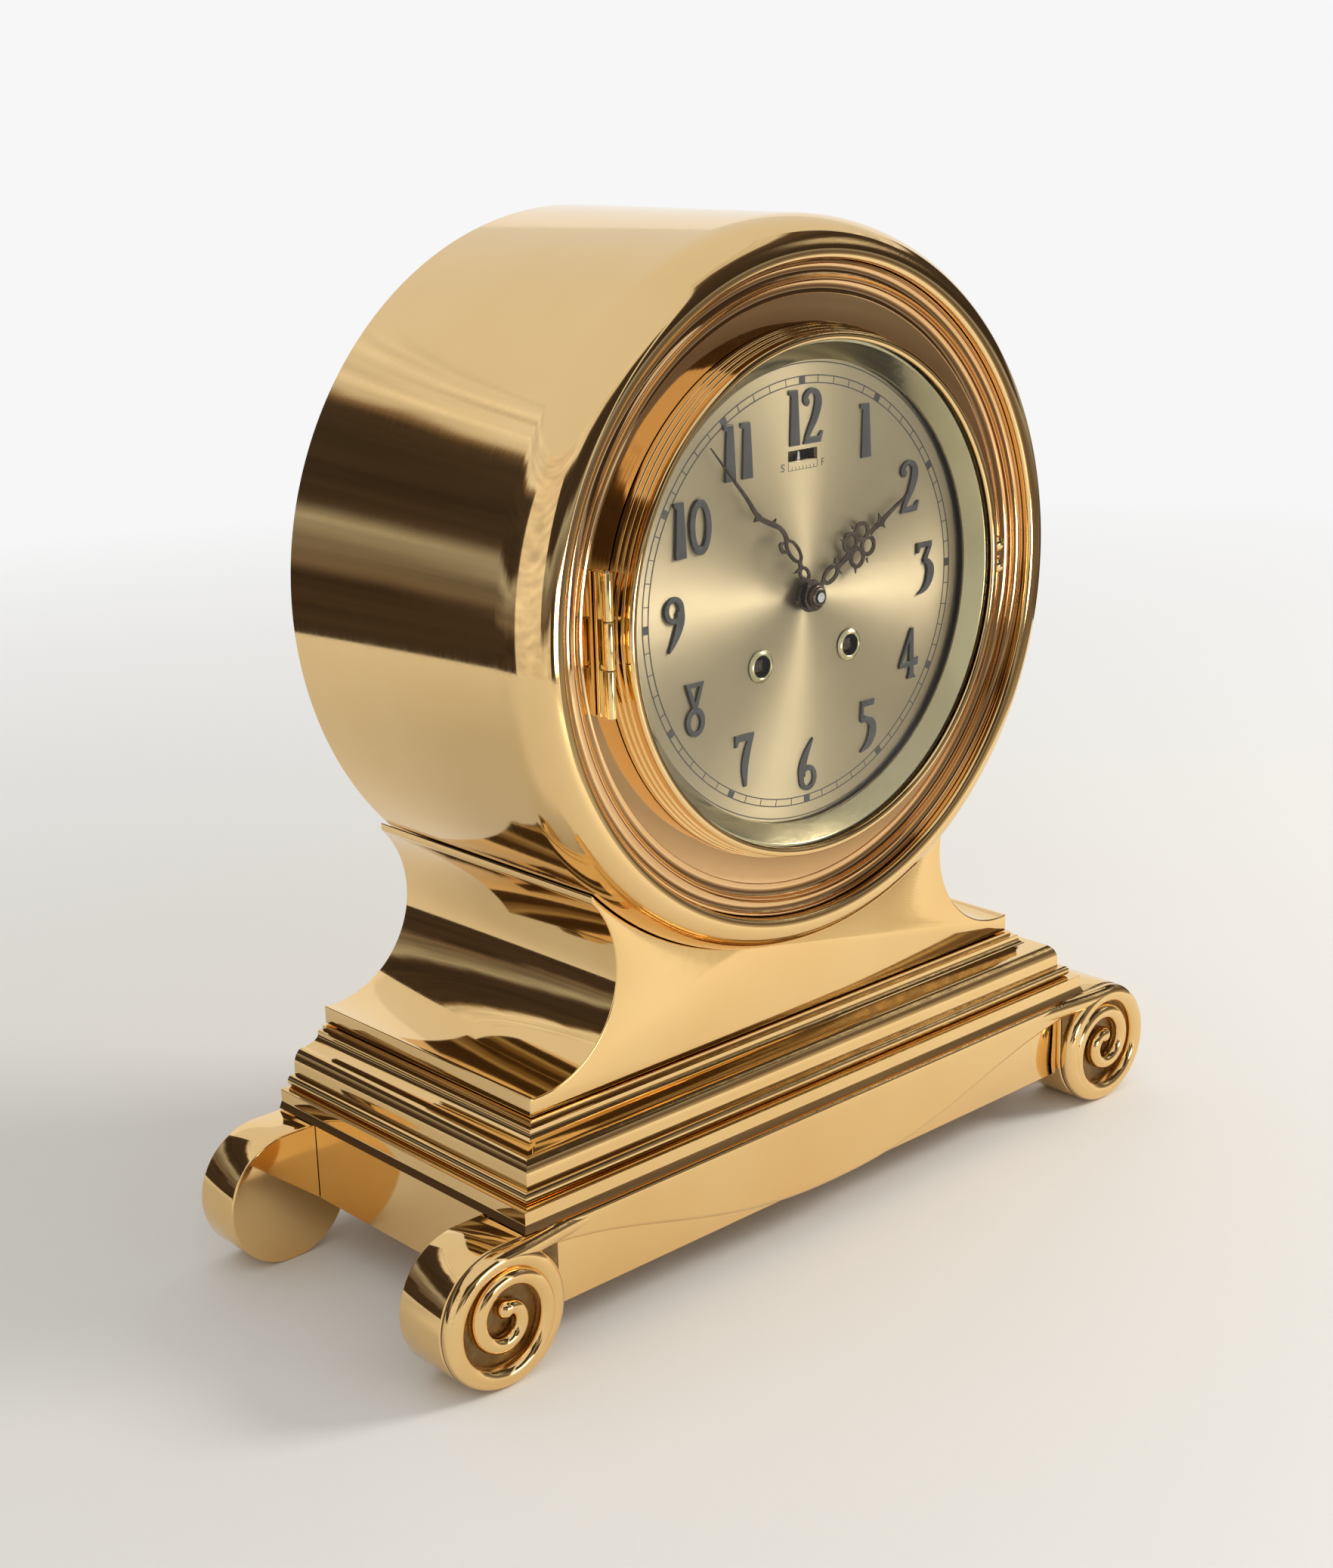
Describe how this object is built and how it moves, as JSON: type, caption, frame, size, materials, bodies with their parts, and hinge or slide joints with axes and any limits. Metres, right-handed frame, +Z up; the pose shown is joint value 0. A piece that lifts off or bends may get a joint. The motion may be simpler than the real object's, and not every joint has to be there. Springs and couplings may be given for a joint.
{
  "type": "mantel ship's bell clock",
  "caption": "Mantel ship's bell clock: round polished bronze drum on a coved pedestal and moulded base with scroll feet, with a hinged glazed bezel over a silvered dial.",
  "frame": {"origin": "on the floor, under the middle of the clock's box", "axes": "+Z up, -Y towards the viewer in front of the dial, +X to the right seen from the front"},
  "size_m": [0.3288, 0.1324, 0.3292],
  "materials": {
    "bronze": "polished warm bronze with a clear mirror shine",
    "brass": "polished yellow brass",
    "glass": "flat clear glass",
    "silver": "silvered brass, brushed in circles",
    "steel": "turned steel",
    "black": "dark blued steel"
  },
  "bodies": {
    "case": {"plinth": "bronze", "pedestal": "bronze", "front_right_foot": "bronze", "front_left_foot": "bronze", "rear_right_foot": "bronze", "rear_left_foot": "bronze", "right_side_panel": "bronze", "left_side_panel": "bronze", "rear_apron": "bronze", "front_apron": "bronze", "case_drum": "bronze", "rear_cover": "bronze", "front_ring": "bronze", "bell": "bronze", "case_hinge": "brass", "ball_catch": "brass", "left_winding_grommet": "brass", "right_winding_grommet": "brass", "movement_front_plate": "brass", "movement_back_plate": "brass", "movement_pillar_1": "brass", "movement_pillar_2": "brass", "movement_pillar_3": "brass", "movement_pillar_4": "brass", "escapement_platform": "brass", "dial": "silver", "hinge_pin": "steel", "bell_post": "steel", "front_base_bolt": "steel", "rear_base_bolt": "steel", "front_base_nut": "steel", "rear_base_nut": "steel"},
    "door": {"door_bezel": "brass", "door_glass": "glass", "sight_ring": "silver", "door_hinge": "brass", "catch_tongue": "brass"},
    "minute": {"centre_arbor": "brass", "minute_hand": "black", "hand_nut": "black"},
    "hour": {"hour_wheel": "brass", "hour_hand": "black"},
    "minute_wheel": {"minute_wheel": "brass"},
    "third": {"third_wheel": "brass"},
    "going_barrel": {"going_barrel": "brass"},
    "strike_barrel": {"strike_barrel": "brass"},
    "hammer_wheel": {"hammer_wheel": "brass"},
    "going_arbor": {"going_winding_arbor": "steel"},
    "strike_arbor": {"strike_winding_arbor": "steel"},
    "balance": {"balance_wheel": "brass"},
    "hammer": {"hammer": "steel"},
    "regulator": {"regulator_index": "steel"}
  },
  "joints": [
    {"name": "door_swing", "type": "hinge", "parent": "case", "child": "door", "pos_m": [-0.0863, -0.0567, 0.2132], "axis": [0, 0, -1], "range_deg": [0, 115]},
    {"name": "minute_turn", "type": "hinge", "parent": "case", "child": "minute", "pos_m": [0, 0, 0.2132], "axis": [0, 1, 0], "continuous": true},
    {"name": "hour_turn", "type": "hinge", "parent": "case", "child": "hour", "pos_m": [0, 0, 0.2132], "axis": [0, 1, 0], "continuous": true},
    {"name": "minute_wheel_turn", "type": "hinge", "parent": "case", "child": "minute_wheel", "pos_m": [-0.0096, 0, 0.2132], "axis": [0, 1, 0], "continuous": true},
    {"name": "third_turn", "type": "hinge", "parent": "case", "child": "third", "pos_m": [0.0081, 0, 0.22723], "axis": [0, 1, 0], "continuous": true},
    {"name": "going_barrel_turn", "type": "hinge", "parent": "case", "child": "going_barrel", "pos_m": [0.0195, 0, 0.1938], "axis": [0, 1, 0], "continuous": true},
    {"name": "strike_barrel_turn", "type": "hinge", "parent": "case", "child": "strike_barrel", "pos_m": [-0.0195, 0, 0.1938], "axis": [0, 1, 0], "continuous": true},
    {"name": "hammer_wheel_turn", "type": "hinge", "parent": "case", "child": "hammer_wheel", "pos_m": [-0.03718, 0, 0.21487], "axis": [0, 1, 0], "continuous": true},
    {"name": "going_winding_turn", "type": "hinge", "parent": "case", "child": "going_arbor", "pos_m": [0.0195, 0, 0.1938], "axis": [0, 1, 0], "continuous": true},
    {"name": "strike_winding_turn", "type": "hinge", "parent": "case", "child": "strike_arbor", "pos_m": [-0.0195, 0, 0.1938], "axis": [0, 1, 0], "continuous": true},
    {"name": "balance_swing", "type": "hinge", "parent": "case", "child": "balance", "pos_m": [-0.008, 0, 0.2607], "axis": [0, 1, 0], "range_deg": [-220, 220], "stiffness_Nm_per_rad": 0.000002},
    {"name": "hammer_lift", "type": "hinge", "parent": "case", "child": "hammer", "pos_m": [0.03, 0, 0.1682], "axis": [0, 1, 0], "range_deg": [0, 12], "stiffness_Nm_per_rad": 0.05},
    {"name": "regulator_shift", "type": "hinge", "parent": "case", "child": "regulator", "pos_m": [0, 0, 0.2475], "axis": [0, 1, 0], "range_deg": [-12, 12]}
  ],
  "couplings": [
    {"joint": "hour_turn", "follows": "minute_turn", "ratio": 0.083333},
    {"joint": "minute_wheel_turn", "follows": "minute_turn", "ratio": -0.33333},
    {"joint": "third_turn", "follows": "minute_turn", "ratio": -8},
    {"joint": "going_barrel_turn", "follows": "minute_turn", "ratio": -0.16667},
    {"joint": "hammer_wheel_turn", "follows": "strike_barrel_turn", "ratio": -6}
  ]
}
